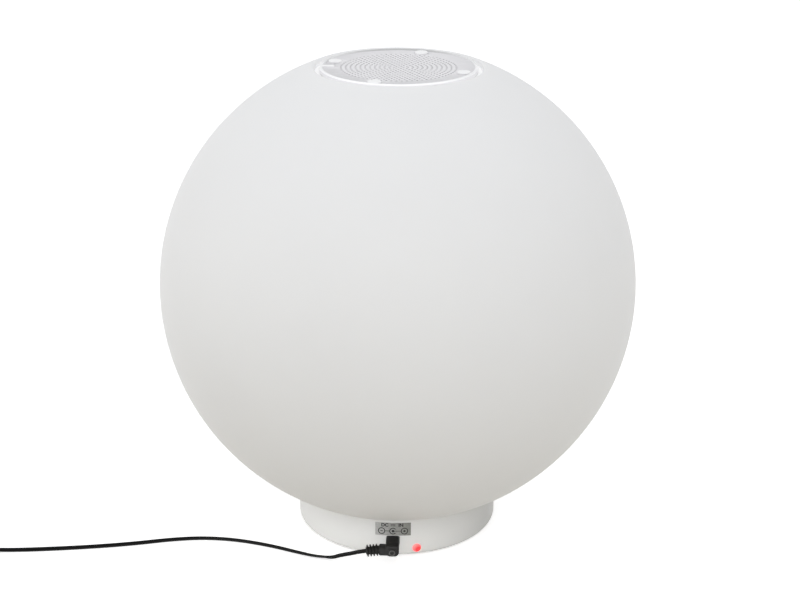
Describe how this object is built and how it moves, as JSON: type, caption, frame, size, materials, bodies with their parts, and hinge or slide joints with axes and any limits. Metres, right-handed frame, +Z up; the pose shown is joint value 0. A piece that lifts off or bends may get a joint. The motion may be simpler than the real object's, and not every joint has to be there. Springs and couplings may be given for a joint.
{
  "type": "garden globe light",
  "caption": "Milky globe light on a short round base, with a perforated speaker panel in its crown, an underside button and a plug-in charger with its lead and adaptor.",
  "frame": {"origin": "on the floor under the middle of the globe and its base", "axes": "+Z up along the globe's upright axis, +X to the right and -Y to the front as the charging socket is seen"},
  "size_m": [0.6114, 0.3998, 0.4023],
  "materials": {
    "globe_skin": "milky white, satin, lets light through",
    "base_white": "white, fine satin",
    "panel_white": "white, fine satin",
    "cap_white": "white, smooth",
    "seal_grey": "soft, dull",
    "foot_rubber": "soft, dull grey",
    "silicone": "soft, translucent grey",
    "insert_brass": "knurled brass",
    "screw_steel": "zinc plated",
    "basket_black": "black, stoved",
    "cone_paper": "pressed paper, dull black",
    "surround_rubber": "soft, dull black",
    "spider_cloth": "corrugated, resin dipped",
    "coil_copper": "enamelled wire on a thin former",
    "ferrite": "dark, dull",
    "magnet_steel": "zinc plated",
    "frame_grey": "grey, moulded",
    "inner_black": "black, moulded",
    "spreader_metal": "plain",
    "board_white": "white solder mask",
    "board_green": "green solder mask",
    "chip_yellow": "clear over yellow",
    "chip_black": "moulded black",
    "radio_shield": "tinned lid",
    "dome_opal": "opal, lets light through",
    "cell_wrap": "shrink wrap over a metal can",
    "cable_black": "soft, dull black",
    "plug_black": "moulded, satin black",
    "contact_nickel": "nickel plated",
    "red_lens": "red, clear",
    "label_grey": "grey print on a thin plate",
    "adaptor_black": "moulded, satin black"
  },
  "bodies": {
    "light": {"globe_shell": "globe_skin", "panel_inserts": "insert_brass", "panel_gasket": "seal_grey", "speaker_panel": "panel_white", "panel_screws": "screw_steel", "screw_caps": "cap_white", "speaker_basket": "basket_black", "speaker_gasket": "seal_grey", "speaker_surround": "surround_rubber", "speaker_spider": "spider_cloth", "front_plate": "magnet_steel", "magnet": "ferrite", "yoke": "magnet_steel", "speaker_screws": "screw_steel", "speaker_terminal": "inner_black", "back_chamber": "frame_grey", "lead_grommets": "seal_grey", "speaker_lead": "cable_black", "base_housing": "base_white", "base_cover": "base_white", "base_screws": "screw_steel", "cover_seal": "seal_grey", "rubber_feet": "foot_rubber", "globe_gasket": "seal_grey", "globe_clamp": "frame_grey", "heat_spreader": "spreader_metal", "light_board": "board_white", "light_chips": "chip_yellow", "light_dome": "dome_opal", "dome_screws": "screw_steel", "battery_cells": "cell_wrap", "battery_cradle": "inner_black", "battery_strap": "inner_black", "main_board": "board_green", "board_screws": "screw_steel", "board_components": "chip_black", "radio_module": "radio_shield", "switch_body": "inner_black", "button_boot": "silicone", "charging_socket": "inner_black", "socket_pin": "contact_nickel", "led_holder": "inner_black", "charge_light": "red_lens", "rating_label": "label_grey"},
    "button": {"power_button": "cap_white"},
    "diaphragm": {"speaker_cone": "cone_paper", "dust_cap": "cone_paper", "voice_coil": "coil_copper"},
    "charger": {"plug_body": "plug_black", "plug_barrel": "contact_nickel", "plug_insulator": "inner_black", "plug_contact": "contact_nickel", "cord_lead": "cable_black", "cord_coil": "cable_black", "cord_tail": "cable_black", "coil_strap": "seal_grey", "adaptor_base": "adaptor_black", "adaptor_lid": "adaptor_black", "mains_pins": "contact_nickel", "adaptor_relief": "cable_black"}
  },
  "joints": [
    {"name": "button_press", "type": "slide", "parent": "light", "child": "button", "axis": [0, 0, 1], "range_m": [0, 0.002], "stiffness_N_per_m": 700, "springref_m": -0.001, "deforming": ["button_boot"]},
    {"name": "diaphragm_travel", "type": "slide", "parent": "light", "child": "diaphragm", "axis": [0, 0, 1], "range_m": [-0.001, 0.001], "stiffness_N_per_m": 1250, "deforming": ["speaker_surround", "speaker_spider"]},
    {"name": "charger_unplug", "type": "slide", "parent": "light", "child": "charger", "axis": [0, -1, 0], "range_m": [0, 0.012]}
  ]
}
